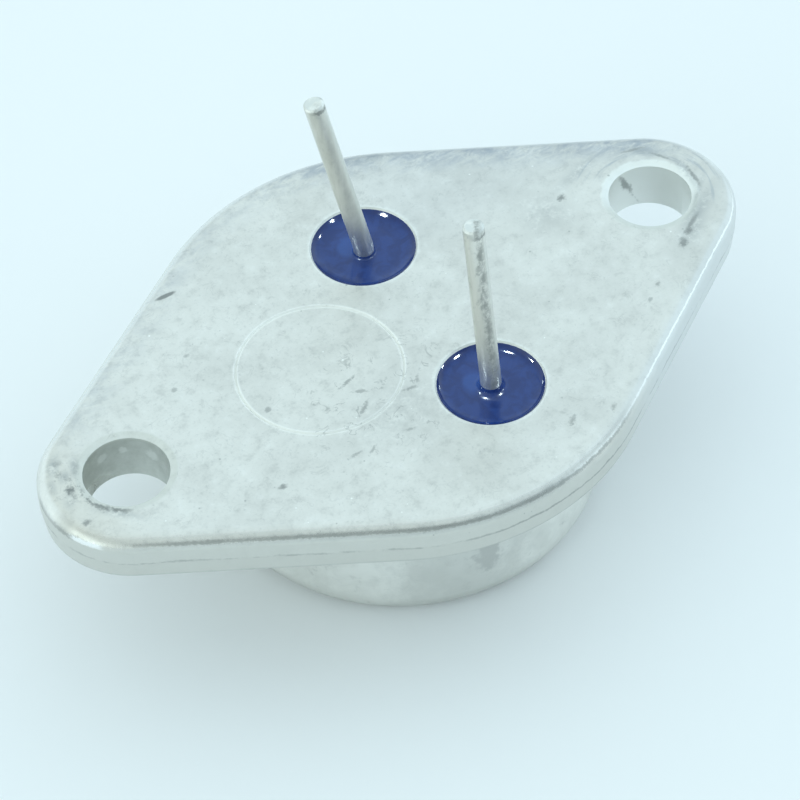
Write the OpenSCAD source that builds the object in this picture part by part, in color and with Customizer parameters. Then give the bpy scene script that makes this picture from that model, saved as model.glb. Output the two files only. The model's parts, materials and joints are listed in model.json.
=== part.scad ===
// Power transistor in a two-pin metal can: a thick stamped flange with two
// mounting holes, two pins in glass seals, and a drawn cap welded over the
// silicon die. It rests on the closed end of its cap, with the pins upward.
// Millimetres, +Z up. The origin is the centre of the cap's closed end.
// +X runs along the line of the mounting holes, to the hole nearer the pins.

/* [Flange] */
// Width of the flange across its middle arc
flange_w = 24.5; // [24:0.1:30]
// Thickness of the flange
flange_t = 2.7; // [2.2:0.1:3.2]
// Radius of each ear
ear_r = 4.55; // [4.2:0.05:5]
// Distance between the two mounting holes
hole_spacing = 30.15; // [29:0.05:37]
// Distance from each mounting hole's centre to the end of its ear
hole_edge = 4.175; // [3.8:0.025:4.8]
// Diameter of each mounting hole
hole_d = 4.1; // [3.8:0.05:4.4]
// Width of the coined ring around each mounting hole
hole_coin_w = 0.32; // [0.1:0.02:0.5]
// Depth of that coined ring
hole_coin_depth = 0.1; // [0.04:0.01:0.2]
// Radius of the rolled edge of the mounting face
edge_roll = 0.7; // [0.3:0.05:0.9]
// Depth of the smooth sheared band, from the mounting face
shear_depth = 1.45; // [1:0.05:1.8]
// How far the torn band below it leans inward
tear_lean = 0.1; // [0.05:0.05:0.3]
// Size of the worn bevel on the lower edge
lower_bevel = 0.25; // [0.1:0.05:0.3]

/* [Cap] */
// Outer diameter of the cap
cap_d = 19.6; // [17:0.1:21]
// Height of the cap, from its closed end to the flange
cap_h = 7.1; // [6:0.1:8]
// Thickness of the cap's sheet
cap_wall = 0.5; // [0.3:0.05:0.7]
// Outer radius of the cap's corner
cap_corner_r = 1.2; // [0.9:0.1:1.6]
// Width of the cap's weld brim
brim_w = 1.2; // [0.8:0.05:1.5]
// Radius of the bend from the wall to the brim
brim_bend_r = 0.3; // [0.1:0.05:0.4]

/* [Pins] */
// Diameter of each pin
pin_d = 1; // [0.9:0.05:1.1]
// Length of each pin beyond the mounting face
pin_len = 10.9; // [9:0.1:13]
// Distance between the two pins
pin_spacing = 10.84; // [10.7:0.02:11.1]
// Offset of the pins' line from the middle of the flange
pin_line_x = 1.7; // [1.5:0.05:2]
// Chamfer on each pin's cut tip
pin_tip_bevel = 0.1; // [0.05:0.01:0.2]
// Diameter of the bonding head on each pin's inner end
pin_head_d = 2; // [1.8:0.1:2.4]
// Thickness of that head
pin_head_t = 0.4; // [0.2:0.05:0.5]
// Radius of the bend where a pin leans, along its middle
pin_bend_r = 1.5; // [1:0.1:3]
// How far the base pin is bent from upright, in degrees
base_lean = 11; // [0:0.5:15]
// Direction in which the base pin leans, in degrees from +X
base_lean_dir = 174; // [0:1:359]
// How far the emitter pin is bent from upright, in degrees
emitter_lean = 3.5; // [0:0.5:15]
// Direction in which the emitter pin leans, in degrees from +X
emitter_lean_dir = 162; // [0:1:359]

/* [Glass seals] */
// Diameter of each glass seal and of its hole
seal_d = 5.14; // [4.6:0.02:5.2]
// Width and depth of the bevel at the mouth of that hole
seal_bevel = 0.08; // [0.04:0.01:0.12]
// Depth of the glass below the mounting face
seal_dip = 0.4; // [0.3:0.05:0.5]
// Height that the glass climbs up its hole's wall
seal_climb = 0.32; // [0.1:0.02:0.36]
// Width of the slope of that climb, in the base pin's seal
base_slope_w = 0.85; // [0.35:0.05:1]
// Width of the slope of that climb, in the emitter pin's seal
emitter_slope_w = 0.65; // [0.35:0.05:1]
// Radius of the low glass collar around the base pin
base_collar_r = 0.14; // [0.08:0.02:0.6]
// Radius of the high glass collar around the emitter pin
emitter_collar_r = 0.42; // [0.08:0.02:0.6]
// Width of the flat rim left at the edges of the glass
seal_rim = 0.03; // [0.02:0.01:0.05]

/* [Die and its seat] */
// Diameter of the copper slug that carries the die
slug_d = 8; // [7:0.1:9.4]
// Clearance between the slug and the cap's wall
slug_gap = 0.9; // [0.5:0.05:1.1]
// Height of the slug above the flange's inner face
slug_rise = 0.8; // [0.5:0.1:1.2]
// Width and depth of the joint line around the slug's outer face
slug_joint = 0.08; // [0.04:0.02:0.12]
// Side of the square silicon die
die_side = 4; // [3:0.1:4]
// Thickness of the die
die_t = 0.22; // [0.15:0.01:0.3]
// Width of the solder left bare around the die
solder_margin = 0.15; // [0.05:0.05:0.25]
// Thickness of the solder
solder_t = 0.08; // [0.05:0.01:0.12]
// Distance of the bonding pads from the die's edges
pad_inset = 1; // [0.6:0.05:1.2]
// Width of the slug left bare around the coat over the die
coat_edge = 0.5; // [0.3:0.05:0.6]
// Height of the coat over the slug
coat_h = 1.25; // [1.2:0.05:1.6]

/* [Bond wires] */
// Diameter of the bond wires
wire_d = 0.38; // [0.2:0.02:0.5]
// Height of the wires' loops
wire_loop_h = 1.7; // [1.2:0.1:2.4]
// Length of each bonded foot
foot_len = 0.8; // [0.6:0.05:1]
// Width of each bonded foot
foot_w = 0.5; // [0.4:0.05:0.6]
// Thickness of each bonded foot
foot_t = 0.2; // [0.1:0.02:0.25]
// Distance between the two emitter wires
emitter_wire_pitch = 0.75; // [0.65:0.05:0.8]

/* [Hidden] */
$fn = 96;
over = 1;
// Extra sweep of an arc past the axis that trims it, in degrees
overrun = 4;
body_h = cap_h + flange_t;
mid_r = flange_w / 2;
flange_len = hole_spacing + 2 * hole_edge;
ear_x = flange_len / 2 - ear_r;
// Angle from +X to the points where an ear's arc meets the straight sides
side_angle = acos((mid_r - ear_r) / ear_x);
side_len = ear_x * sin(side_angle);
hole_r = hole_d / 2;
cap_r = cap_d / 2;
brim_r = cap_r + brim_w;
pin_r = pin_d / 2;
pin_y = pin_spacing / 2;
seal_r = seal_d / 2;
slug_r = slug_d / 2;
slug_x = slug_r + slug_gap + cap_wall - cap_r;
solder_side = die_side + 2 * solder_margin;
// The pin bends just clear of its glass collar
bend_gap = 0.08;
base_bend_z = base_collar_r - seal_dip + bend_gap;
emitter_bend_z = emitter_collar_r - seal_dip + bend_gap;
// Levels inside the can, down from the mounting face
slug_depth = flange_t + slug_rise;
die_depth = slug_depth + solder_t;
pad_depth = die_depth + die_t;
// The coat's rim, and the sphere that the coat is cut from
coat_rim_r = slug_r - coat_edge;
coat_r = (coat_rim_r * coat_rim_r + coat_h * coat_h) / (2 * coat_h);
// Where the wires meet the die
pad_x = slug_x + die_side / 2 - pad_inset;
pad_y = die_side / 2 - pad_inset;

// Places its children in the header's frame, with the mounting face at z = 0
module on_header() {
    translate([0, 0, body_h]) children();
}

// Section of the flange's rim: the outline is at x = 0 and the metal is inward of it
module rim_section(depth) {
    difference() {
        polygon([[-depth, 0], [0, 0], [0, -shear_depth], [-tear_lean, lower_bevel - flange_t],
                 [-tear_lean - lower_bevel, -flange_t], [-depth, -flange_t]]);
        translate([-edge_roll, -edge_roll]) difference() {
            square(edge_roll + over);
            circle(edge_roll);
        }
    }
}

// A pie-shaped piece of the flange under a rounded stretch of its outline, from +X round
module flange_pie(r, sweep) {
    rotate_extrude(angle = sweep) intersection() {
        translate([r, 0]) rim_section(r + over);
        translate([0, -flange_t]) square([r, flange_t]);
    }
}

// A quarter of the flange: the middle arc, a straight side and an ear's arc, laid out
// along that side and then trimmed to the flange's two axes
module flange_quarter() {
    intersection() {
        rotate([0, 0, side_angle]) {
            flange_pie(mid_r, 90 - side_angle + overrun);
            rotate([90, 0, 0]) linear_extrude(side_len) translate([mid_r, 0]) rim_section(mid_r);
            translate([mid_r - ear_r, -side_len, 0]) mirror([0, 1, 0])
                flange_pie(ear_r, side_angle + overrun);
        }
        translate([0, 0, -flange_t - over]) cube([flange_len, flange_w, flange_t + 2 * over]);
    }
}

module flange_blank() {
    for (turn_x = [0, 1], turn_y = [0, 1])
        mirror([turn_x, 0, 0]) mirror([0, turn_y, 0]) flange_quarter();
}

// A hole down through the flange, with a cone that opens it at the mounting face
module flange_hole(r, cone_w, cone_depth) {
    translate([0, 0, -flange_t - over]) cylinder(r = r, h = flange_t + 2 * over);
    translate([0, 0, -cone_depth])
        cylinder(r1 = r, r2 = r + cone_w * (1 + over / cone_depth), h = cone_depth + over);
}

module header_flange() {
    color("gainsboro") on_header() difference() {
        flange_blank();
        for (side = [-1, 1]) {
            translate([side * hole_spacing / 2, 0, 0]) flange_hole(hole_r, hole_coin_w, hole_coin_depth);
            translate([pin_line_x, side * pin_y, 0]) flange_hole(seal_r, seal_bevel, seal_bevel);
        }
        translate([slug_x, 0, 0]) flange_hole(slug_r, slug_joint, slug_joint);
    }
}

// Copper slug set through the flange, level with the mounting face
module copper_slug() {
    color("gainsboro") on_header() translate([slug_x, 0, 0]) {
        translate([0, 0, -slug_depth]) cylinder(r = slug_r, h = slug_depth - slug_joint);
        translate([0, 0, -slug_joint]) cylinder(r1 = slug_r, r2 = slug_r - slug_joint, h = slug_joint);
    }
}

// Section of the glass where it wets a wall at x = 0: it climbs to height h, with a flat
// rim there, and runs out level at distance w
module wetting_section(w, h) {
    run = w - seal_rim;
    r = (run * run + h * h) / (2 * h);
    difference() {
        square([w, h]);
        translate([w, r]) circle(r);
    }
}

// Glass seal around a pin: dished, wetting the hole's wall and climbing the pin
module glass_seal(slope_w, collar_r) {
    rotate_extrude() {
        translate([pin_r, -flange_t]) square([seal_r - pin_r, flange_t - seal_dip]);
        translate([seal_r, -seal_dip]) mirror([1, 0]) wetting_section(slope_w, seal_climb);
        translate([pin_r, -seal_dip]) wetting_section(collar_r + seal_rim, collar_r);
    }
}

module base_seal() {
    color("midnightblue") on_header() translate([pin_line_x, pin_y, 0])
        glass_seal(base_slope_w, base_collar_r);
}

module emitter_seal() {
    color("midnightblue") on_header() translate([pin_line_x, -pin_y, 0])
        glass_seal(emitter_slope_w, emitter_collar_r);
}

// Pin with a bonding head inside the can, upright through the glass and then bent
module contact_pin(bend_z, lean, lean_dir) {
    bend_len = pin_bend_r * lean * PI / 180;
    straight_len = pin_len - bend_z - bend_len;
    translate([0, 0, -pad_depth]) cylinder(d = pin_head_d, h = pin_head_t);
    translate([0, 0, -pad_depth]) cylinder(r = pin_r, h = pad_depth + bend_z);
    rotate([0, 0, lean_dir]) translate([pin_bend_r, 0, bend_z]) {
        if (lean > 0)
            rotate([90, 0, 180]) rotate_extrude(angle = lean) translate([pin_bend_r, 0]) circle(pin_r);
        rotate([0, lean, 0]) translate([-pin_bend_r, 0, 0]) {
            cylinder(r = pin_r, h = straight_len - pin_tip_bevel);
            translate([0, 0, straight_len - pin_tip_bevel])
                cylinder(r1 = pin_r, r2 = pin_r - pin_tip_bevel, h = pin_tip_bevel);
        }
    }
}

module base_pin() {
    color("silver") on_header() translate([pin_line_x, pin_y, 0])
        contact_pin(base_bend_z, base_lean, base_lean_dir);
}

module emitter_pin() {
    color("silver") on_header() translate([pin_line_x, -pin_y, 0])
        contact_pin(emitter_bend_z, emitter_lean, emitter_lean_dir);
}

// A square plate centred on the slug, its face at the given depth
module seat_plate(side, depth, t) {
    translate([slug_x - side / 2, -side / 2, -depth - t]) cube([side, side, t]);
}

module die_solder() {
    color("darkgray") on_header() seat_plate(solder_side, slug_depth, solder_t);
}

module silicon_die() {
    color("dimgray") on_header() seat_plate(die_side, die_depth, die_t);
}

// Wire looped from one bonded foot to the other, both at the level of the pads
module bond_wire(from, to) {
    run = to - from;
    span = norm(run);
    loop_r = (span * span / 4 + wire_loop_h * wire_loop_h) / (2 * wire_loop_h);
    half_angle = asin(span / 2 / loop_r);
    translate([from[0], from[1], -pad_depth]) rotate([180, 0, atan2(run[1], run[0])]) {
        for (end = [0, span])
            translate([end - foot_len / 2, -foot_w / 2, 0]) cube([foot_len, foot_w, foot_t]);
        intersection() {
            translate([span / 2, 0, wire_loop_h - loop_r]) rotate([90, 0, 0]) rotate(90 - half_angle)
                rotate_extrude(angle = 2 * half_angle) translate([loop_r, 0]) circle(d = wire_d);
            translate([-wire_d, -wire_d, 0]) cube([span + 2 * wire_d, 2 * wire_d, wire_loop_h + wire_d]);
        }
    }
}

// Wire from the die to the pin on one side, shifted sideways along the pads
module pin_wire(side, shift) {
    run = [pin_line_x - pad_x, side * (pin_y - pad_y)];
    across = [-run[1], run[0]] / norm(run) * shift;
    from = [pad_x, side * pad_y] + across;
    bond_wire(from, from + run);
}

module base_wire() {
    color("lightgray") on_header() pin_wire(1, 0);
}

module emitter_wire_1() {
    color("lightgray") on_header() pin_wire(-1, -emitter_wire_pitch / 2);
}

module emitter_wire_2() {
    color("lightgray") on_header() pin_wire(-1, emitter_wire_pitch / 2);
}

// Soft coat over the die, poured around the solder, the die and the wires
module junction_coat() {
    color("whitesmoke") on_header() difference() {
        translate([slug_x, 0, -slug_depth]) intersection() {
            translate([0, 0, coat_r - coat_h]) sphere(coat_r);
            translate([-slug_r, -slug_r, -2 * coat_h]) cube([slug_d, slug_d, 2 * coat_h]);
        }
        seat_plate(solder_side, slug_depth, solder_t);
        seat_plate(die_side, die_depth, die_t);
        pin_wire(1, 0);
        for (side = [-1, 1]) pin_wire(-1, side * emitter_wire_pitch / 2);
    }
}

// Drawn cap: a cup with a rounded corner and a flat brim welded to the flange
module cap() {
    inner_r = cap_r - cap_wall;
    inner_corner_r = cap_corner_r - cap_wall;
    color("gainsboro") rotate_extrude() difference() {
        union() {
            square([cap_r - cap_corner_r, cap_h]);
            translate([0, cap_corner_r]) square([cap_r, cap_h - cap_corner_r]);
            translate([cap_r - cap_corner_r, cap_corner_r]) circle(cap_corner_r);
            translate([0, cap_h - cap_wall]) square([brim_r, cap_wall]);
            translate([cap_r, cap_h - cap_wall - brim_bend_r]) difference() {
                square(brim_bend_r);
                translate([brim_bend_r, 0]) circle(brim_bend_r);
            }
        }
        translate([0, cap_wall]) square([inner_r - inner_corner_r, cap_h]);
        translate([0, cap_corner_r]) square([inner_r, cap_h]);
        translate([inner_r - inner_corner_r, cap_corner_r]) circle(inner_corner_r);
    }
}

header_flange();
copper_slug();
base_seal();
emitter_seal();
base_pin();
emitter_pin();
die_solder();
silicon_die();
base_wire();
emitter_wire_1();
emitter_wire_2();
junction_coat();
cap();
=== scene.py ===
import json
import math

import bpy
from mathutils import Matrix, Vector


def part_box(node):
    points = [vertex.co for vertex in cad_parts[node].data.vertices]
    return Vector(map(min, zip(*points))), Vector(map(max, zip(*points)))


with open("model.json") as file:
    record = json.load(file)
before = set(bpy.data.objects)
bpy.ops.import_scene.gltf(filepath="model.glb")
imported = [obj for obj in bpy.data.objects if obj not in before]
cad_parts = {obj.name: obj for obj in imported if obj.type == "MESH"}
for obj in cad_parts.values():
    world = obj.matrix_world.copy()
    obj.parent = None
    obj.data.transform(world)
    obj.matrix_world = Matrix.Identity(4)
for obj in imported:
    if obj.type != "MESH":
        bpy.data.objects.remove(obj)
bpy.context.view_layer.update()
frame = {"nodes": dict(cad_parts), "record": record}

# A power transistor in a two-pin metal can, lying on its cap with the pins up.
# Lengths in materials are millimetres in the frame; objects are in metres.
MM = 0.001

# ---------------------------------------------------------------- sizes from the frame
mounts = {m["name"]: m for m in frame["record"]["mounts"]}
flange_low, flange_high = (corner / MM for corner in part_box("header_flange"))
FACE_Z = flange_high.z
FLANGE_T = flange_high.z - flange_low.z
HALF_LEN = flange_high.x
MID_R = flange_high.y
HOLE_X = mounts["mounting_hole_near"]["pos_m"][0] / MM
HOLE_R = mounts["mounting_hole_near"]["dims"]["r_mm"]
slug_low, slug_high = (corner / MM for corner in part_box("copper_slug"))
SLUG_X = (slug_low.x + slug_high.x) / 2
SLUG_R = (slug_high.x - slug_low.x) / 2
seal_low, seal_high = (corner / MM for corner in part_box("base_seal"))
SEAL_X = (seal_low.x + seal_high.x) / 2
SEAL_Y = (seal_low.y + seal_high.y) / 2
SEAL_R = (seal_high.x - seal_low.x) / 2
PIN_TIP_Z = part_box("emitter_pin")[1].z / MM

# Radius of the flange's ears, and how far down its wall the smooth sheared band ends
EAR_R = 4.55
SHEAR_DEPTH = 1.45
EAR_X = HALF_LEN - EAR_R
# The way out from a straight side, as an angle from the X axis
SIDE_ANGLE = math.acos((MID_R - EAR_R) / EAR_X)
# Width over which the outline's arcs and sides run into each other
SEAM = 0.01
# Height of an area's column, in mm: so tall that only x and y count
ANY_HEIGHT = 1000


# ---------------------------------------------------------------- shader arithmetic
class Field:
    """A number that varies over a surface: a node's output, with arithmetic."""

    def __init__(self, socket):
        self.socket = socket

    def _math(self, operation, *others, clamp=False):
        tree = self.socket.id_data
        node = tree.nodes.new("ShaderNodeMath")
        node.operation = operation
        node.use_clamp = clamp
        for slot, value in zip(node.inputs, (self, *others)):
            if isinstance(value, Field):
                tree.links.new(value.socket, slot)
            else:
                slot.default_value = value
        return Field(node.outputs[0])

    def __add__(self, other):
        return self._math("ADD", other)

    def __sub__(self, other):
        return self._math("SUBTRACT", other)

    def __mul__(self, other):
        return self._math("MULTIPLY", other)

    def __truediv__(self, other):
        return self._math("DIVIDE", other)

    def __neg__(self):
        return self * -1

    __radd__ = __add__
    __rmul__ = __mul__

    def __rsub__(self, other):
        return -self + other

    def __abs__(self):
        return self._math("ABSOLUTE")

    def root(self):
        return self._math("SQRT")

    def part_turn(self):
        """The part after the decimal point."""
        return self._math("FRACT")

    def angle_from(self, x):
        """The angle, in radians, of a direction whose y is this field."""
        return self._math("ARCTAN2", x)

    def low(self, other):
        return self._math("MINIMUM", other)

    def high(self, other):
        return self._math("MAXIMUM", other)

    def clamp(self):
        return self._math("ADD", 0.0, clamp=True)

    def step(self, start, end):
        """0 at start and 1 at end, smooth between; start may be the larger."""
        tree = self.socket.id_data
        node = tree.nodes.new("ShaderNodeMapRange")
        node.interpolation_type = "SMOOTHSTEP"
        rising = start < end
        node.inputs["From Min"].default_value = min(start, end)
        node.inputs["From Max"].default_value = max(start, end)
        node.inputs["To Min"].default_value = 0.0 if rising else 1.0
        node.inputs["To Max"].default_value = 1.0 if rising else 0.0
        tree.links.new(self.socket, node.inputs["Value"])
        return Field(node.outputs["Result"])


def hypot(a, b):
    return (a * a + b * b).root()


def bearing(azimuth, elevation):
    """The direction at an azimuth from +X towards +Y and an elevation, in degrees."""
    a, e = math.radians(azimuth), math.radians(elevation)
    return Vector((math.cos(a) * math.cos(e), math.sin(a) * math.cos(e), math.sin(e)))


class Surface:
    """One material: a Principled shader whose inputs are worked out from the place on the part."""

    def __init__(self, name, **constants):
        self.material = bpy.data.materials.new(name)
        self.material.use_nodes = True
        self.tree = self.material.node_tree
        self.shader = self.tree.nodes["Principled BSDF"]
        for key, value in constants.items():
            self.shader.inputs[key.replace("_", " ").title().replace("Ior", "IOR")].default_value = value
        place = self.tree.nodes.new("ShaderNodeTexCoord").outputs["Object"]
        scale = self.tree.nodes.new("ShaderNodeVectorMath")
        scale.operation = "SCALE"
        scale.inputs["Scale"].default_value = 1 / MM
        self.tree.links.new(place, scale.inputs[0])
        self.place = scale.outputs[0]
        split = self.tree.nodes.new("ShaderNodeSeparateXYZ")
        self.tree.links.new(self.place, split.inputs[0])
        self.x, self.y, self.z = (Field(s) for s in split.outputs)

    def at(self, shift=(0, 0, 0), stretch=(1, 1, 1)):
        """The place, moved and stretched, for a texture to read."""
        node = self.tree.nodes.new("ShaderNodeMapping")
        node.inputs["Location"].default_value = shift
        node.inputs["Scale"].default_value = stretch
        self.tree.links.new(self.place, node.inputs["Vector"])
        return node.outputs[0]

    def noise(self, per_mm, detail=3.0, roughness=0.55, warp=0.0, **mapping):
        """Soft noise about 0.5, with per_mm lumps in a millimetre."""
        node = self.tree.nodes.new("ShaderNodeTexNoise")
        node.inputs["Scale"].default_value = per_mm
        node.inputs["Detail"].default_value = detail
        node.inputs["Roughness"].default_value = roughness
        node.inputs["Distortion"].default_value = warp
        self.tree.links.new(self.at(**mapping), node.inputs["Vector"])
        return Field(node.outputs["Fac"])

    def rubbed(self, x, y, along, across, detail=4.0, roughness=0.6):
        """Noise drawn out in arcs about a point: lumps per mm along (3 mm out) and across the arcs."""
        dx, dy = self.x - x, self.y - y
        join = self.tree.nodes.new("ShaderNodeCombineXYZ")
        self.tree.links.new((dy.angle_from(dx) * (3.0 * along)).socket, join.inputs["X"])
        self.tree.links.new((hypot(dx, dy) * across).socket, join.inputs["Y"])
        node = self.tree.nodes.new("ShaderNodeTexNoise")
        node.inputs["Scale"].default_value = 1.0
        node.inputs["Detail"].default_value = detail
        node.inputs["Roughness"].default_value = roughness
        self.tree.links.new(join.outputs[0], node.inputs["Vector"])
        return Field(node.outputs["Fac"])

    def spots(self, per_mm, size, share, **mapping):
        """Round specks: 1 inside. size is a share of their spacing, share how many cells hold one."""
        node = self.tree.nodes.new("ShaderNodeTexVoronoi")
        node.inputs["Scale"].default_value = per_mm
        self.tree.links.new(self.at(**mapping), node.inputs["Vector"])
        chance = self.tree.nodes.new("ShaderNodeSeparateColor")
        self.tree.links.new(node.outputs["Color"], chance.inputs[0])
        chosen = Field(chance.outputs[0]).step(1 - share, 1 - share + 0.02)
        spread = Field(chance.outputs[1]) * 0.7 + 0.3
        return (Field(node.outputs["Distance"]) / spread).step(size, size * 0.6) * chosen

    def reach(self, x, y, length, width, turn):
        """0 on the axis of an upright oval column and 1 at its side."""
        node = self.tree.nodes.new("ShaderNodeMapping")
        node.vector_type = "TEXTURE"
        node.inputs["Location"].default_value = (x, y, FACE_Z)
        node.inputs["Rotation"].default_value = (0, 0, math.radians(turn))
        node.inputs["Scale"].default_value = (length / 2, width / 2, ANY_HEIGHT)
        self.tree.links.new(self.place, node.inputs["Vector"])
        size = self.tree.nodes.new("ShaderNodeVectorMath")
        size.operation = "LENGTH"
        self.tree.links.new(node.outputs[0], size.inputs[0])
        return Field(size.outputs["Value"])

    def blend(self, base, top, factor):
        """base where factor is 0 and top where it is 1."""
        node = self.tree.nodes.new("ShaderNodeMix")
        node.data_type = "RGBA"
        factor_in, base_in, top_in = (node.inputs[i] for i in (0, 6, 7))
        self.tree.links.new(factor.socket, factor_in)
        for slot, value in ((base_in, base), (top_in, top)):
            if isinstance(value, tuple):
                slot.default_value = (*value, 1)
            else:
                self.tree.links.new(value, slot)
        return node.outputs[2]

    def paint(self, colour):
        self.tree.links.new(colour, self.shader.inputs["Base Color"])

    def feed(self, name, field):
        self.tree.links.new(field.socket, self.shader.inputs[name])

    def bump(self, height, depth_mm, strength=1.0):
        """Raises the surface by depth_mm where height is 1."""
        node = self.tree.nodes.new("ShaderNodeBump")
        node.inputs["Distance"].default_value = depth_mm * MM
        node.inputs["Strength"].default_value = strength
        self.tree.links.new(height.socket, node.inputs["Height"])
        self.tree.links.new(node.outputs[0], self.shader.inputs["Normal"])


def edge_distance(surface):
    """How far inside the flange's outline a place is, in mm."""
    x, y = abs(surface.x), abs(surface.y)
    across = x * math.cos(SIDE_ANGLE) + y * math.sin(SIDE_ANGLE)
    along = y * math.cos(SIDE_ANGLE) - x * math.sin(SIDE_ANGLE)
    middle = MID_R - hypot(x, y)
    side = MID_R - across
    ear = EAR_R - hypot(x - EAR_X, y)
    ear_starts = -EAR_X * math.sin(SIDE_ANGLE)
    in_middle = along.step(-SEAM, SEAM)
    in_ear = along.step(ear_starts + SEAM, ear_starts - SEAM)
    return middle * in_middle + ear * in_ear + side * (1 - in_middle - in_ear)


# ---------------------------------------------------------------- the flange's marks and colours
# Marks on the mounting face: (x, y, length, width, turn in degrees from +X, darkness)
GOUGE = (-7.9, 8.28, 1.05, 0.24, -3, 0.85)
PITS = (
    (11.4, 2.4, 0.42, 0.30, 20, 0.75),
    (-9.1, 4.4, 0.26, 0.22, 0, 0.45),
    (-10.7, 2.9, 0.26, 0.22, 0, 0.45),
    (-7.75, -0.7, 0.30, 0.22, 40, 0.55),
    (-9.7, -5.05, 0.36, 0.24, 0, 0.7),
    (-18.1, -1.6, 0.40, 0.30, 0, 0.7),
    (-17.77, 0.52, 0.50, 0.36, 60, 0.9),
    (11.8, -5.0, 0.30, 0.20, 30, 0.5),
    (10.9, -5.6, 0.26, 0.18, 30, 0.45),
    (14.45, -3.55, 0.60, 0.36, 40, 0.7),
    (15.15, -3.05, 0.50, 0.30, 30, 0.7),
    (15.6, -2.7, 1.30, 0.20, 27, 0.6),
    (17.6, -0.2, 1.30, 0.20, 80, 0.6),
    (17.15, 1.75, 1.10, 0.15, -61, 0.5),
    (16.2, 3.0, 1.10, 0.15, -17, 0.45),
)
SQUIGGLES = (
    (-3.75, -1.45, 0.75, 0.16, 15, 0.55),
    (-3.6, -2.3, 0.60, 0.16, -30, 0.5),
    (-4.0, -3.25, 0.85, 0.18, 35, 0.55),
    (-1.6, -3.5, 0.70, 0.16, -10, 0.5),
    (-1.0, -3.25, 0.45, 0.15, 60, 0.45),
    (-5.9, -5.4, 0.60, 0.16, 0, 0.45),
    (-5.1, -5.6, 0.50, 0.15, 30, 0.45),
    (-3.0, -5.6, 0.55, 0.15, -20, 0.4),
    (3.4, -9.6, 0.55, 0.22, 40, 0.5),
    (5.5, -10.0, 0.40, 0.20, 50, 0.45),
)
# Broad grey smears, in the same form
SMEARS = (
    (5.35, 10.25, 2.6, 0.55, -20, 0.7),
    (16.2, -2.35, 3.4, 0.75, 30, 0.75),
    (16.9, -1.35, 2.6, 0.30, 38, 0.6),
    (15.4, -3.1, 2.2, 0.70, 30, 0.6),
    (17.45, 0.4, 2.6, 0.34, 82, 0.7),
    (16.6, 2.6, 2.2, 0.50, -50, 0.6),
    (13.2, 3.4, 3.2, 0.60, 15, 0.5),
    (10.2, 2.0, 2.4, 2.2, 0, 0.35),
    (-17.75, 2.2, 1.1, 0.50, 50, 0.9),
    (-17.6, 1.36, 0.7, 0.45, 40, 0.8),
    (-18.4, 1.15, 0.8, 0.40, 70, 0.7),
    (-18.1, 0.0, 0.9, 0.50, 60, 0.6),
    (-16.95, 1.6, 1.1, 0.35, 55, 0.9),
    (-16.6, -2.0, 2.0, 0.40, -48, 0.7),
    (-2.6, -4.4, 5.5, 3.6, 0, 0.25),
)
# Areas with marks or tones of their own: (x, y, length, width, turn in degrees from +X)
SCRATCHED_AREA = (-3.0, -3.2, 8.5, 7.0, 0)
EAR_GRIME_AREA = (-17.8, 0.9, 4.0, 2.4, 78)
# Where the left ear's painted highlight lies
EAR_SHINE_AREA = (-18.64, -2.18, 1.8, 1.2, -61)
# Pale spots on the left hole's wall: (x, y, depth, radius)
BORE_SPOTS = (
    (-15.28, 2.04, 0.96, 0.30),
    (-14.25, 1.88, 0.91, 0.24),
    (-13.23, 0.90, 1.07, 0.34),
)

# Nickel plate, from dull to bright; the glints, the right wall's lighter tone and the pale rings are
# painted light
NICKEL_DULL = (0.65, 0.638, 0.597)
NICKEL = (0.725, 0.712, 0.668)
NICKEL_RUBBED = (0.83, 0.82, 0.785)
NICKEL_SPECKLED = (0.85, 0.84, 0.80)
NICKEL_GLINT = (0.97, 0.97, 0.94)
WALL_NICKEL = (0.70, 0.70, 0.66)
WALL_LIT_RIGHT = (0.80, 0.82, 0.83)
BORE_NICKEL = (0.85, 0.86, 0.83)
COINED_RING_HIGHLIGHT = (0.82, 0.83, 0.79)
SLUG_RING_HIGHLIGHT = (1.0, 1.0, 0.97)
SEAL_RING_HIGHLIGHT = (0.84, 0.85, 0.81)
# Painted on the edge where it shines in the photo: fixed to the part, whatever the light
EDGE_SHINE = (0.98, 0.98, 0.96)
# Stains and dirt on the plate, and painted shade
MOTTLED_GREY = (0.48, 0.48, 0.455)
GRAINED_GREY = (0.37, 0.375, 0.365)
BEIGE = (0.64, 0.60, 0.515)
# Bluish painted shade for the far right of the face
FAR_RIGHT_SHADE = (0.48, 0.50, 0.53)
BLUISH_GRIME = (0.39, 0.415, 0.45)
ARC_GRIME = (0.38, 0.415, 0.45)
SMEAR_GREY = (0.33, 0.35, 0.355)
PIT_DIRT = (0.29, 0.30, 0.29)
LEFT_BORE_GREY = (0.50, 0.52, 0.48)
BORE_STAIN = (0.25, 0.26, 0.25)
WALL_LINE_GREY = (0.33, 0.34, 0.33)
FOOT_GREY = (0.42, 0.44, 0.43)
# Painted shade beside the edge's dark line and on the left ear's tip
EDGE_SHADE = (0.50, 0.51, 0.49)
EAR_SHADE = (0.52, 0.52, 0.49)
# The rolled edge's dark line: dirt and painted dark reflection
EDGE_DIRT_AND_REFLECTION = (0.19, 0.20, 0.19)


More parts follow.
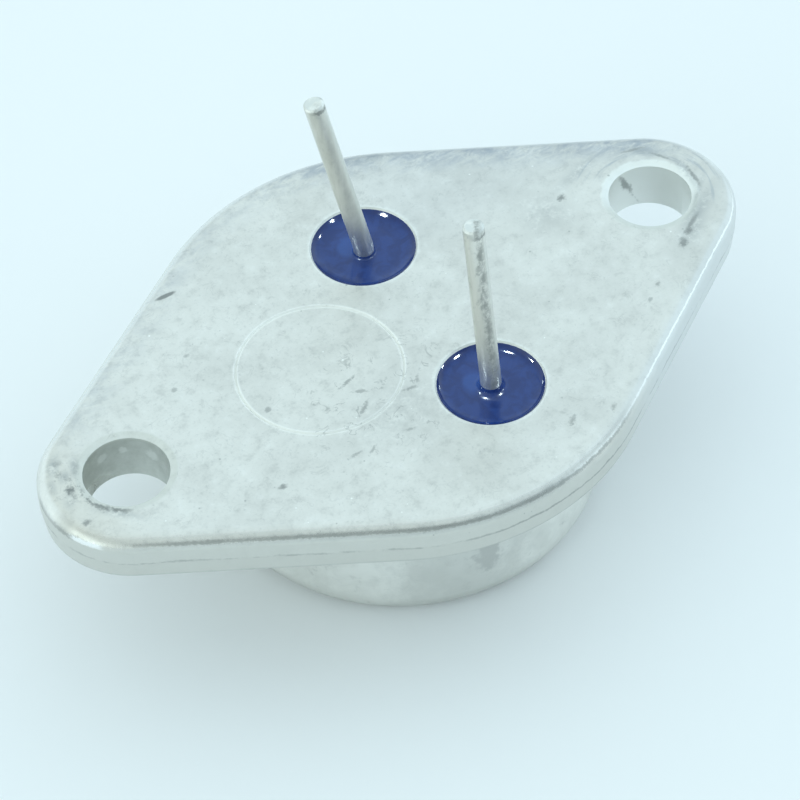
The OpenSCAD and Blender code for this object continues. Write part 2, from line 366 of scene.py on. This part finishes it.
# ---------------------------------------------------------------- the flange's material
class FlangeSurface(Surface):
    """The flange's material, with the places and the noises that its marks share."""

    def __init__(self, name):
        super().__init__(name, metallic=1.0)
        self.depth = FACE_Z - self.z
        # 0 half-way down the rolled edge, negative towards the face and positive down the wall
        self.across = self.depth - edge_distance(self)
        self.near_hole = hypot(abs(self.x) - HOLE_X, self.y) - HOLE_R
        self.face = self.depth.step(0.10, 0.02)
        self.top = self.depth.step(0.30, 0.15)
        self.wall = self.depth.step(0.30, 0.75)
        self.bore = self.near_hole.step(0.10, 0.02) * self.depth.step(0.05, 0.20)
        self.left = self.x.step(-9.0, -12.0)
        self.right = self.x.step(4.0, 10.0)

        self.clouds = self.noise(0.30, detail=3)
        self.mottle = self.noise(1.5, detail=6, roughness=0.68, shift=(3, 7, 1))
        self.grain = self.noise(5.5, detail=5, roughness=0.7, shift=(9, 2, 4))
        self.sway = self.mottle - 0.5
        self.jitter = self.grain - 0.5


def worn_patch(places, surface, wobble, soft=0.6):
    """Dark marks of given place, size and strength, with edges as ragged as wobble."""
    total = None
    for *area, darkness in places:
        mark = (surface.reach(*area) + wobble).step(1.0 + soft, 1.0 - soft) * darkness
        total = mark if total is None else total.high(mark)
    return total


def bore_spots(s):
    """Ragged round spots on the wall of the left hole."""
    wobble = s.sway * 1.2 + s.jitter * 0.8
    total = None
    for x, y, depth, radius in BORE_SPOTS:
        away = hypot(hypot(s.x - x, s.y - y), s.depth - depth)
        spot = (away / radius + wobble).step(1.2, 0.6)
        total = spot if total is None else total.high(spot)
    return total


def face_tones(s):
    """Cloudy grey plate, mottled and grained, busier on the left, and lighter on the left as painted
    light.
    """
    busy = s.x.step(12.0, -5.0) * 0.20 + 0.65
    # Lighter towards the left: painted light, on top of the cloudy tone.
    cloudy_and_lit_left = s.clouds.step(0.30, 0.70) + s.x.step(4.0, -6.0) * 0.3
    colour = s.blend(NICKEL_DULL, NICKEL, cloudy_and_lit_left)
    colour = s.blend(colour, MOTTLED_GREY, s.mottle.step(0.48, 0.76) * busy * 0.55)
    colour = s.blend(colour, NICKEL_RUBBED, s.mottle.step(0.46, 0.25) * 0.32)
    colour = s.blend(colour, GRAINED_GREY, s.grain.step(0.53, 0.78) * busy * 0.45)
    return s.blend(colour, NICKEL_SPECKLED, s.grain.step(0.44, 0.22) * 0.30)


def far_grime(s, colour):
    """Beige on the left ear; bluish grime at the far edge and the right ear; bluish painted shade on the
    far right of the face.
    """
    beige = s.x.step(-15.0, -18.5) * s.clouds.step(0.25, 0.55)
    colour = s.blend(colour, BEIGE, beige * 0.38)
    rub = s.noise(1.6, detail=7, roughness=0.72, warp=0.5, stretch=(0.5, 1, 1), shift=(2, 2, 0))
    inset = s.depth - s.across
    edge = inset.step(2.4, 0.5) * inset.step(0.15, 0.40) * s.y.step(0.5, 3.0)
    edge = edge * (s.x.step(-3.0, 4.0) * 0.65 + 0.35) * s.x.step(-17.5, -15.5)
    colour = s.blend(colour, BLUISH_GRIME, edge * rub.step(0.36, 0.68))
    # Bluish painted shade over the face's far right.
    far_right_shade = s.y.step(2.0, 6.0) * s.x.step(1.0, 5.0) * s.face
    colour = s.blend(colour, FAR_RIGHT_SHADE, far_right_shade * 0.15)
    arcs = s.rubbed(HOLE_X, 0, 0.35, 3.0).step(0.50, 0.68)
    ring = abs(s.near_hole - 1.25).step(0.95, 0.4) * (s.x + s.y * 0.9).step(14.6, 17.0)
    return s.blend(colour, ARC_GRIME, arcs * ring * 0.65)


def walls_and_bores(s, colour):
    """Walls cleaner than the face, and lighter on the right side as painted light; bores pale, grey and
    stained.
    """
    colour = s.blend(colour, WALL_NICKEL, s.wall * (1 - s.bore) * 0.85)
    # Painted light: walls on the right side lighter, the lower wall most.
    right_wall_light = s.right * (1 - s.face) * (1 - s.bore) * (s.depth.step(0.15, 0.40) * 0.4 + 0.3)
    colour = s.blend(colour, WALL_LIT_RIGHT, right_wall_light)
    colour = s.blend(colour, BORE_NICKEL, s.bore)
    grey = s.bore * s.left * (1 - bore_spots(s) * 0.42) * (s.mottle * 0.7 + 0.45)
    colour = s.blend(colour, LEFT_BORE_GREY, grey)
    slant = abs(s.x - HOLE_X + 0.45 - s.depth * 0.47)
    stain = slant * 5.0 + abs(s.depth - 1.0) * 0.9 + s.sway * 3.0 + s.jitter * 3.0
    stain = stain.step(1.7, 0.2) * s.y.step(0.0, 0.5) * s.bore * (1 - s.left)
    return s.blend(colour, BORE_STAIN, stain * 0.7)


def ring_highlights(s, colour):
    """Painted highlights on the modelled coined rings round the holes, the slug's joint and the rims of
    the seals.
    """
    s.coin = abs(s.near_hole - 0.17 + s.sway * 0.3).step(0.30, 0.12) * s.top
    # Pale paint on the modelled rings: painted highlights.
    colour = s.blend(colour, COINED_RING_HIGHLIGHT, s.coin * (0.65 - s.left * 0.15))
    from_joint = abs(hypot(s.x - SLUG_X, s.y) + s.sway * 0.08 - SLUG_R)
    s.slug_band = from_joint.step(0.19, 0.09) * (s.clouds * 0.8 + 0.5)
    joint = from_joint.step(0.13, 0.07)
    colour = s.blend(colour, SLUG_RING_HIGHLIGHT, (s.slug_band * 0.38 + joint * 0.30) * s.top)
    from_seal = hypot(s.x - SEAL_X, abs(s.y) - SEAL_Y) - SEAL_R
    rim = (from_seal + s.sway * 0.4).step(0.28, 0.06) * s.depth.step(0.3, 0.1)
    return s.blend(colour, SEAL_RING_HIGHLIGHT, rim * 0.5)


def scratches(s):
    """Soft winding scratches, most of them below and right of the slug."""
    crawl = abs(s.noise(1.3, detail=3, warp=1.0, shift=(4, 4, 0)) - 0.5).step(0.030, 0.004)
    crawl = crawl * s.noise(1.1, detail=2, shift=(8, 1, 0)).step(0.52, 0.60) * s.face
    return crawl * (s.reach(*SCRATCHED_AREA).step(1.3, 0.5) * 0.30 + 0.12)


def ear_grime(s):
    """Dirt left of the left hole: smut across the ear, and a crescent along the hole's rim."""
    smut = s.noise(2.4, detail=6, roughness=0.72, stretch=(1, 0.7, 1), shift=(5, 5, 5))
    smut = s.reach(*EAR_GRIME_AREA).step(1.1, 0.3) * smut.step(0.47, 0.70) * s.face
    rim_side = (-(s.x + HOLE_X) - s.y * 0.55) / (s.near_hole + HOLE_R)
    crescent = abs(s.near_hole - 0.30 + s.jitter * 0.7).step(0.24, 0.04) * rim_side.step(0.82, 1.05)
    crescent = crescent * s.left * s.top * s.mottle.step(0.44, 0.54)
    return (smut * 0.7).high(crescent * 0.6)


def face_marks(s, colour):
    """Smears, painted glints, dark specks, pits, scratches, the gouge and the left ear's grime."""
    smears = worn_patch(SMEARS, s, s.sway * 3.5 + s.jitter * 2.5, 0.9) * s.face
    smears = smears * (s.mottle.step(0.36, 0.58) * 0.6 + s.grain.step(0.40, 0.60) * 0.4)
    colour = s.blend(colour, SMEAR_GREY, smears * 0.85)
    # Bright specks: painted glints.
    painted_glints = s.spots(2.1, 0.15, 0.10, shift=(7, 3, 0)) * s.face
    colour = s.blend(colour, NICKEL_GLINT, painted_glints * 0.55)
    pits = worn_patch(PITS, s, s.jitter * 3.0 + s.sway * 2.0)
    squiggles = worn_patch(SQUIGGLES, s, s.jitter * 4.5 + s.sway * 3.0)
    s.gouge = worn_patch((GOUGE,), s, s.jitter * 0.5, 0.3)
    specks = s.spots(2.6, 0.22, 0.10) * s.noise(0.5).step(0.45, 0.60) * 0.45
    s.dirt = pits.high(s.gouge).high(squiggles) * s.face
    s.dirt = s.dirt.high(scratches(s)).high(specks).high(ear_grime(s))
    return s.blend(colour, PIT_DIRT, s.dirt)


def wall_lines(s, colour):
    """Broken dark lines where the sheared band ends and above the lower bevel, and a darker foot."""
    outer = 1 - s.bore
    front = s.x.step(-4.5, -1.0) * s.x.step(9.0, 5.0)
    breaks = s.noise(0.7, detail=4, roughness=0.7, stretch=(1, 1, 2))
    wander = s.sway * 0.30 + (s.clouds - 0.5) * 0.3
    shear = (abs(s.depth - SHEAR_DEPTH + wander) - s.jitter * 0.20).step(0.11, 0.0)
    shear = shear * (breaks + front * 0.12).step(0.40, 0.58) * outer
    lower = abs(s.depth - FLANGE_T + 0.22 + s.sway * 0.15) - s.jitter * 0.12
    lower = lower.step(0.09, 0.0) * (breaks + front * 0.15).step(0.42, 0.60) * outer
    colour = s.blend(colour, WALL_LINE_GREY, shear.high(lower * 0.8) * (front * 0.25 + 0.45))
    foot = s.depth.step(FLANGE_T - 0.42, FLANGE_T - 0.18) * outer
    return s.blend(colour, FOOT_GREY, foot * 0.35)


def edge_line(s):
    """The ragged dark line along the rolled edge, on the near side and the left ear's tip: dirt and
    painted dark reflection.
    """
    near_side = s.y.step(-2.6, -3.2) * s.x.step(7.5, 4.5) * s.x.step(-17.4, -15.5)
    left_end = s.x.step(-18.2, -18.7) * s.y.step(-2.1, -1.5) * s.y.step(1.8, 0.8)
    thick = s.noise(0.6, detail=5, roughness=0.75, shift=(6, 2, 8))
    bristle = s.noise(11.0, detail=3, roughness=0.75, stretch=(1, 1, 0.6))
    ragged = s.across + s.jitter * 0.34 + s.sway * 0.24 + (bristle - 0.5) * 0.42 - 0.20
    ragged = ragged - left_end * 0.30
    line = (abs(ragged) / (thick * 0.28 + left_end * 0.08 + 0.01)).step(1.0, 0.35)
    return line * near_side.high(left_end) * (thick * 1.1 + 0.25).clamp()


def rolled_edge(s, colour):
    """Dirt and painted dark reflection, with painted shade, on the near side's roll; painted highlights on
    the left ear and the right side, and painted reflection on the far side.
    """
    # Painted shade either side of the dark line on the near side's roll.
    shade = (s.across + s.sway * 0.6).step(-0.18, 0.10) * s.across.step(0.65, 0.38)
    shade = shade * s.y.step(-1.0, -2.4) * s.x.step(3.5, 0.0) * s.x.step(-17.8, -16.6)
    colour = s.blend(colour, EDGE_SHADE, shade * (1 - s.left * 0.4) * 0.58)
    # Painted shade on the left ear's tip.
    ear_end = s.x.step(-17.6, -18.4)
    ear_shade = ear_end * s.y.step(-1.5, -1.0) * abs(s.across - 0.1).step(0.7, 0.3)
    colour = s.blend(colour, EAR_SHADE, ear_shade * 0.45)
    s.line = edge_line(s)
    # The dark line is dirt and painted dark reflection.
    colour = s.blend(colour, EDGE_DIRT_AND_REFLECTION, s.line * 0.52)

    # Painted highlight on the left ear's rolled edge, where the metal is also smoother.
    s.ear_shine = (s.reach(*EAR_SHINE_AREA) + s.sway * 0.8).step(1.1, 0.6)
    s.ear_shine = s.ear_shine * (abs(s.depth - 0.50) + s.jitter * 0.2).step(0.17, 0.06)
    # Painted highlight along the right side's rolled edge.
    crest_highlight = (abs(s.across - 0.08 + s.sway * 0.25) + s.jitter * 0.16).step(0.09, 0.03)
    crest_highlight = crest_highlight * s.right * s.y.step(-1.5, -3.0)
    # Painted reflection just inside the far side's rolled edge.
    far_rim_reflection = s.across.step(-0.62, -0.28) * s.y.step(-1.2, 0.2) * (1 - s.wall) * (1 - s.bore)
    shine = s.ear_shine.high(crest_highlight * 0.9).high(far_rim_reflection * (0.75 - s.grain * 0.5))
    return s.blend(colour, EDGE_SHINE, shine)


def flange_gloss(s):
    """Smoother on the rolled edge; duller on dirt, the slug's ring and the holes' near sides."""
    ear_tip = s.x.step(-17.6, -18.4) * s.y.step(-1.7, -1.2)
    rolled = abs(s.across - 0.05).step(0.60, 0.30) * (1 - s.line * 0.8)
    rolled = rolled * (1 - s.right * 0.8) * (1 - ear_tip)
    coin_far = ((s.x - HOLE_X) * 0.5 + s.y).step(-1.2, 0.6)
    roughness = 0.50 + s.sway * 0.25 + s.dirt * 0.2 - rolled * 0.25 - s.ear_shine * 0.2
    roughness = roughness + s.slug_band * 0.15 + s.coin * (0.25 - coin_far * 0.30)
    s.feed("Roughness", roughness)


def flange_metal():
    """Dull nickel plate: pitted and grimy face, rolled edge with dirt and painted light and shade, sheared
    wall.
    """
    s = FlangeSurface("flange_nickel")
    colour = face_tones(s)
    for layer in (far_grime, walls_and_bores, ring_highlights, face_marks, wall_lines, rolled_edge):
        colour = layer(s, colour)
    s.paint(colour)
    flange_gloss(s)
    s.bump(s.mottle * 0.5 + s.grain * 0.15 - s.gouge * 0.6, 0.03, strength=0.6)
    return s.material


# ---------------------------------------------------------------- the other materials
def worn_metal(name, light, dark, stain, roughness, lumps=2.5):
    """Metal in two mottled tones, with a few darker specks."""
    s = Surface(name, metallic=1.0)
    mottle = s.noise(lumps, detail=5)
    colour = s.blend(dark, light, mottle.step(0.35, 0.6))
    s.paint(s.blend(colour, stain, s.spots(lumps * 1.6, 0.3, 0.1) * 0.6))
    s.feed("Roughness", roughness + (mottle - 0.5) * 0.15)
    s.bump(mottle, 0.01, strength=0.5)
    return s.material


# Areas of the cap's wall with painted shade: (x, y, length, width, turn in degrees from +X)
CAP_SHADE_AREA = (-3.0, -9.3, 7.0, 4.0, -12)
CAP_DARK_PATCH_AREA = (-1.6, -9.7, 1.8, 1.6, 0)
CAP_DARK_PATCH_Z = 3.6
# Plate, scuffs and painted shade of the cap, from light to dark
CAP_LIGHT = (0.90, 0.90, 0.865)
CAP_DRAWN = (0.86, 0.86, 0.83)
CAP_PLATE = (0.80, 0.80, 0.765)
CAP_SHADE = (0.60, 0.61, 0.585)
CAP_SCUFF = (0.46, 0.47, 0.45)
CAP_DARK_PATCH = (0.42, 0.43, 0.42)
CAP_FOOT_SHADE = (0.42, 0.43, 0.40)


def cap_metal():
    """Drawn nickel-plated steel: draw lines and scuffs, with painted shade at the foot and on two darker
    areas.
    """
    s = Surface("cap_nickel", metallic=1.0)
    clouds = s.noise(0.45, detail=5, roughness=0.6, warp=0.4)
    draw = s.noise(2.6, detail=4, stretch=(1, 1, 0.2))
    scuffs = s.noise(1.3, detail=7, roughness=0.7, shift=(3, 0, 2))
    colour = s.blend(CAP_PLATE, CAP_LIGHT, clouds.step(0.35, 0.65))
    colour = s.blend(colour, CAP_DRAWN, draw.step(0.52, 0.74) * 0.2)
    colour = s.blend(colour, CAP_SCUFF, scuffs.step(0.55, 0.76) * 0.45)
    # Painted shade at the foot, by the floor.
    foot = s.z.step(1.6, 0.2) * clouds.step(0.3, 0.6)
    # Two darker areas of painted shade on the wall.
    cap_shade = s.reach(*CAP_SHADE_AREA) + (scuffs - 0.5) * 2.0
    cap_dark_patch = s.reach(*CAP_DARK_PATCH_AREA) + abs(s.z - CAP_DARK_PATCH_Z) * 0.7 + (scuffs - 0.5) * 4.0
    colour = s.blend(colour, CAP_FOOT_SHADE, foot * 0.5)
    colour = s.blend(colour, CAP_SHADE, cap_shade.step(1.4, 0.3) * 0.52)
    colour = s.blend(colour, CAP_DARK_PATCH, cap_dark_patch.step(1.3, 0.4) * 0.45)
    s.paint(colour)
    s.feed("Roughness", 0.38 + scuffs * 0.16 + s.x.step(-1.0, 5.0) * 0.20)
    s.bump(draw * 0.3 + scuffs * 0.7, 0.012, strength=0.5)
    return s.material


# Glass, from the painted reflection to the dark rim
GLASS_REFLECTION = (0.028, 0.080, 0.300)
GLASS_LIGHT = (0.018, 0.050, 0.216)
GLASS_DEEP = (0.013, 0.036, 0.165)
GLASS_RIM = (0.010, 0.018, 0.100)


def blue_glass(name, centre):
    """Glossy deep blue glass, darker at its rim, with a painted pale reflection left of the pin and faint
    ripples.
    """
    s = Surface(name, ior=1.45)
    radius = hypot(s.x - centre.x, s.y - centre.y)
    collar = radius.step(1.3, 0.9)
    rim = radius.step(SEAL_R - 0.32, SEAL_R - 0.05)
    s.feed("Roughness", collar * 0.14 + 0.08)
    swirl = s.noise(1.6, detail=3, warp=0.6)
    colour = s.blend(GLASS_DEEP, GLASS_LIGHT, swirl.step(0.35, 0.65))
    # Paler patch left of the pin: painted reflection.
    pale_reflection = (s.reach(centre.x - 0.50, centre.y + 0.75, 1.6, 1.1, 60) + (swirl - 0.5)).step(1.1, 0.6)
    colour = s.blend(colour, GLASS_REFLECTION, pale_reflection * 0.8)
    s.paint(s.blend(colour, GLASS_RIM, rim * 0.5))
    ripple = abs(radius + (swirl - 0.5) * 0.6 - 1.35).step(0.22, 0.0)
    s.bump(s.noise(0.8, detail=2) * 0.6 + ripple * 0.25, 0.03, strength=0.3)
    return s.material


# The way the pins' grimy side, with its painted highlight, faces, in degrees from +X
GRIMY_SIDE = -32
# Tin, from its shine to the worst dirt; the shine is painted, as on the flange's edge
TIN_SHINE = (0.90, 0.90, 0.87)
TIN_FLECK = (0.86, 0.86, 0.82)
TIN_LIGHT = (0.84, 0.83, 0.78)
TIN = (0.74, 0.735, 0.685)
TIN_CUT = (0.66, 0.67, 0.64)
TIN_GRIME = (0.42, 0.43, 0.41)
TIN_COLLAR = (0.28, 0.29, 0.28)
TIN_DIRT = (0.27, 0.28, 0.27)


def pin_metal(name, mount, grime):
    """Tinned wire: long streaks, grime and a painted highlight down one side, a dirty cut tip."""
    s = Surface(name, metallic=1.0)
    middle = Vector(mounts[mount]["pos_m"]) / MM
    lean = Vector(mounts[mount]["axis"])
    up = s.z - middle.z
    beside_x = s.x - middle.x - up * (lean.x / lean.z)
    beside_y = s.y - middle.y - up * (lean.y / lean.z)
    way = bearing(GRIMY_SIDE, 0)
    side = beside_x * way.x + beside_y * way.y
    streak = s.noise(2.6, detail=4, roughness=0.6, stretch=(1, 1, 0.10))
    mottle = s.noise(2.4, detail=6, roughness=0.68, stretch=(1, 1, 0.6))
    grain = s.noise(7.0, detail=3, stretch=(1, 1, 0.5))
    colour = s.blend(TIN, TIN_LIGHT, streak.step(0.35, 0.65))
    colour = s.blend(colour, TIN_GRIME, mottle.step(0.52, 0.74) * (0.25 + grime * 0.3))
    band = (abs(side - 0.20 + (mottle - 0.5) * 0.4) + (grain - 0.5) * 0.30).step(0.30, 0.03)
    dirt = band * mottle.step(0.34, 0.56) * grime
    colour = s.blend(colour, TIN_DIRT, dirt * 0.6)
    # Painted highlight down one side.
    colour = s.blend(colour, TIN_SHINE, side.step(0.34, 0.46) * 0.5)
    colour = s.blend(colour, TIN_FLECK, grain.step(0.60, 0.75) * 0.3)
    tip = s.z + (grain - 0.5) * 0.5 - PIN_TIP_Z
    cut = tip.step(-0.42, -0.30)
    collar = abs(tip + 0.42).step(0.16, 0.04) * side.step(-0.3, 0.2)
    colour = s.blend(colour, TIN_COLLAR, collar * 0.7)
    colour = s.blend(colour, TIN_CUT, cut * mottle.step(0.60, 0.42) * 0.8)
    s.paint(colour)
    s.feed("Roughness", 0.38 + mottle * 0.14 + dirt * 0.2)
    s.bump(streak * 0.3 + mottle * 0.4 + grain * 0.2 + cut * grain * 2.0, 0.02, strength=0.6)
    return s.material


def silicone():
    """Clear soft gel over the die, with tiny bubbles."""
    s = Surface("silicone_gel", roughness=0.2, ior=1.41)
    haze = s.noise(1.5, detail=3)
    colour = s.blend((0.75, 0.76, 0.74), (0.88, 0.88, 0.85), haze.step(0.35, 0.65))
    s.paint(s.blend(colour, (0.97, 0.97, 0.95), s.spots(3.0, 0.3, 0.15)))
    s.bump(haze, 0.05, strength=0.4)
    return s.material


def silicon_chip():
    """Dark polished silicon with metal pads laid out in fingers."""
    s = Surface("silicon", metallic=0.6)
    comb = abs((s.x * 1.8 + s.noise(0.4, detail=1) * 0.1).part_turn() - 0.5).step(0.30, 0.34)
    tint = s.noise(0.7, detail=2).step(0.35, 0.65)
    colour = s.blend((0.10, 0.09, 0.13), (0.14, 0.13, 0.20), tint)
    s.paint(s.blend(colour, (0.60, 0.60, 0.58), comb * 0.5))
    s.feed("Roughness", 0.25 - comb * 0.1)
    s.bump(comb, 0.01, strength=0.4)
    return s.material


def set_material(material, *nodes):
    for node in nodes:
        mesh = frame["nodes"][node].data
        for i in range(len(mesh.materials)):
            mesh.materials[i] = material


def seal_centre(node):
    low, high = (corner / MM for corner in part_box(node))
    return (low + high) / 2


def dress_outside():
    set_material(flange_metal(), "header_flange", "copper_slug")
    set_material(cap_metal(), "cap")
    for seal in SPARKLES:
        set_material(blue_glass(seal + "_glass", seal_centre(seal)), seal)
    set_material(pin_metal("base_pin_tin", "base_lead", grime=0.15), "base_pin")
    set_material(pin_metal("emitter_pin_tin", "emitter_lead", grime=1.0), "emitter_pin")


def dress_inside():
    solder = worn_metal("solder", (0.62, 0.61, 0.58), (0.45, 0.45, 0.43), (0.3, 0.3, 0.28), 0.4)
    wire = worn_metal("wire_aluminium", (0.86, 0.86, 0.87), (0.76, 0.76, 0.78), (0.5, 0.5, 0.5), 0.25, 6.0)
    set_material(solder, "die_solder")
    set_material(silicon_chip(), "silicon_die")
    set_material(wire, "base_wire", "emitter_wire_1", "emitter_wire_2")
    set_material(silicone(), "junction_coat")


# ---------------------------------------------------------------- stage
# Side of the floor, in metres, and its colour
FLOOR_SIZE = 4
FLOOR_WHITE = (0.90, 0.90, 0.90, 1)


def make_floor():
    bpy.ops.mesh.primitive_plane_add(size=FLOOR_SIZE)
    floor = bpy.context.object
    floor.name = "floor"
    white = Surface("floor_white", base_color=FLOOR_WHITE, roughness=0.7)
    floor.data.materials.append(white.material)


# Brightness of the light tent overhead and near the floor
TENT_ROOF = 0.90
TENT_FOOT = 0.95
# Darker and brighter places in the tent: (azimuth, elevation, half width where it is full,
# half width where it ends, what the brightness is multiplied by), angles in degrees
TENT_PATCHES = (
    (-112, 22, 6, 20, 0.42),
    (-72, 15, 5, 24, 0.55),
    (50, 4, 6, 24, 0.45),
    (50, 56, 10, 60, 1.38),
    (125, 12, 10, 40, 1.20),
    (172, 5, 12, 42, 1.60),
    (212, 5, 8, 30, 1.20),
    (0, 4, 8, 30, 1.45),
    (-45, 6, 8, 26, 1.5),
)
# Colour of the small lamps, and of the tent at its warmer and cooler sides
LIGHT_TINT = (0.82, 1.0, 1.06)
TENT_WARM = (0.84, 1.0, 1.02)
TENT_COOL = (0.80, 1.0, 1.10)
TENT_COOL_AZIMUTH = 0


def make_world():
    """A soft light tent, darker below the camera and low behind the part, brighter at both sides."""
    world = bpy.data.worlds.new("light_tent")
    bpy.context.scene.world = world
    world.use_nodes = True
    tree = world.node_tree
    background = tree.nodes["Background"]
    way = tree.nodes.new("ShaderNodeTexCoord").outputs["Generated"]
    split = tree.nodes.new("ShaderNodeSeparateXYZ")
    tree.links.new(way, split.inputs[0])
    x, y, z = (Field(s) for s in split.outputs)
    cool = bearing(TENT_COOL_AZIMUTH, 0)
    tint = tree.nodes.new("ShaderNodeMix")
    tint.data_type = "RGBA"
    factor, warm_in, cool_in = (tint.inputs[i] for i in (0, 6, 7))
    warm_in.default_value = (*TENT_WARM, 1)
    cool_in.default_value = (*TENT_COOL, 1)
    tree.links.new((x * cool.x + y * cool.y).step(-0.8, 0.8).socket, factor)
    tree.links.new(tint.outputs[2], background.inputs["Color"])
    rise = z.step(0.0, 0.55)
    strength = rise * (TENT_ROOF - TENT_FOOT) + TENT_FOOT
    for azimuth, elevation, inner, outer, times in TENT_PATCHES:
        middle = bearing(azimuth, elevation)
        along = x * middle.x + y * middle.y + z * middle.z
        patch = along.step(math.cos(math.radians(outer)), math.cos(math.radians(inner)))
        strength = strength * (patch * (times - 1) + 1)
    tree.links.new(strength.socket, background.inputs["Strength"])


# How far the small lamps stand from the part, in metres
LAMP_DISTANCE = 0.6


def lamp(name, azimuth, elevation, size, glow, piece):
    """A small square lamp, aimed at the part, that only one piece reflects."""
    data = bpy.data.lights.new(name, "AREA")
    data.size = size
    data.energy = glow * size ** 2
    data.color = LIGHT_TINT
    light = bpy.data.objects.new(name, data)
    light.location = bearing(azimuth, elevation) * LAMP_DISTANCE + Vector((0, 0, FACE_Z * MM))
    light.rotation_mode = "QUATERNION"
    light.rotation_quaternion = bearing(azimuth, elevation).to_track_quat("Z", "Y")
    bpy.context.scene.collection.objects.link(light)
    group = bpy.data.collections.new(name + "_lights")
    group.objects.link(piece)
    light.light_linking.receiver_collection = group
    light.visible_diffuse = False
    light.visible_camera = False


# Small lamps that only one seal's glass shows:
# (azimuth, elevation, side in metres, watts per square metre)
SPARKLES = {
    "base_seal": (
        (178, 57, 0.070, 600),
        (-45, 50, 0.050, 500),
        (-5, 38, 0.035, 400),
    ),
    "emitter_seal": (
        (-50, 37, 0.085, 900),
        (177, 67, 0.085, 900),
        (-25, 9, 0.045, 250),
        (149, 28, 0.050, 900),
        (107, 3, 0.060, 60),
        (9, 3, 0.060, 40),
    ),
}
# The point that the camera looks at and its distance, in millimetres; angles in degrees
CAMERA_TARGET = Vector((-2.39, -3.84, FACE_Z))
CAMERA_DISTANCE = 155.9
CAMERA_AZIMUTH = 31.58
CAMERA_ELEVATION = 49.37
CAMERA_ROLL = 3.18
CAMERA_LENS = 149.7


def make_camera():
    """Azimuth turns the view from +Y towards +X; roll tips its right side down."""
    a, e, r = (math.radians(v) for v in (CAMERA_AZIMUTH, CAMERA_ELEVATION, CAMERA_ROLL))
    forward = Vector((math.sin(a) * math.cos(e), math.cos(a) * math.cos(e), -math.sin(e)))
    level = Vector((math.cos(a), -math.sin(a), 0))
    right = level * math.cos(r) - level.cross(forward) * math.sin(r)
    up = right.cross(forward)
    data = bpy.data.cameras.new("camera")
    data.lens = CAMERA_LENS
    data.clip_start = 0.01
    data.clip_end = 20
    camera = bpy.data.objects.new("camera", data)
    turn = Matrix((right, up, -forward)).transposed().to_4x4()
    camera.matrix_world = Matrix.Translation((CAMERA_TARGET - forward * CAMERA_DISTANCE) * MM) @ turn
    bpy.context.scene.collection.objects.link(camera)
    bpy.context.scene.camera = camera


dress_outside()
dress_inside()
make_floor()
make_world()
for seal, sparkles in SPARKLES.items():
    for number, sparkle in enumerate(sparkles, 1):
        lamp("%s_sparkle_%d" % (seal, number), *sparkle, frame["nodes"][seal])
make_camera()
bpy.context.scene.view_settings.view_transform = "Standard"
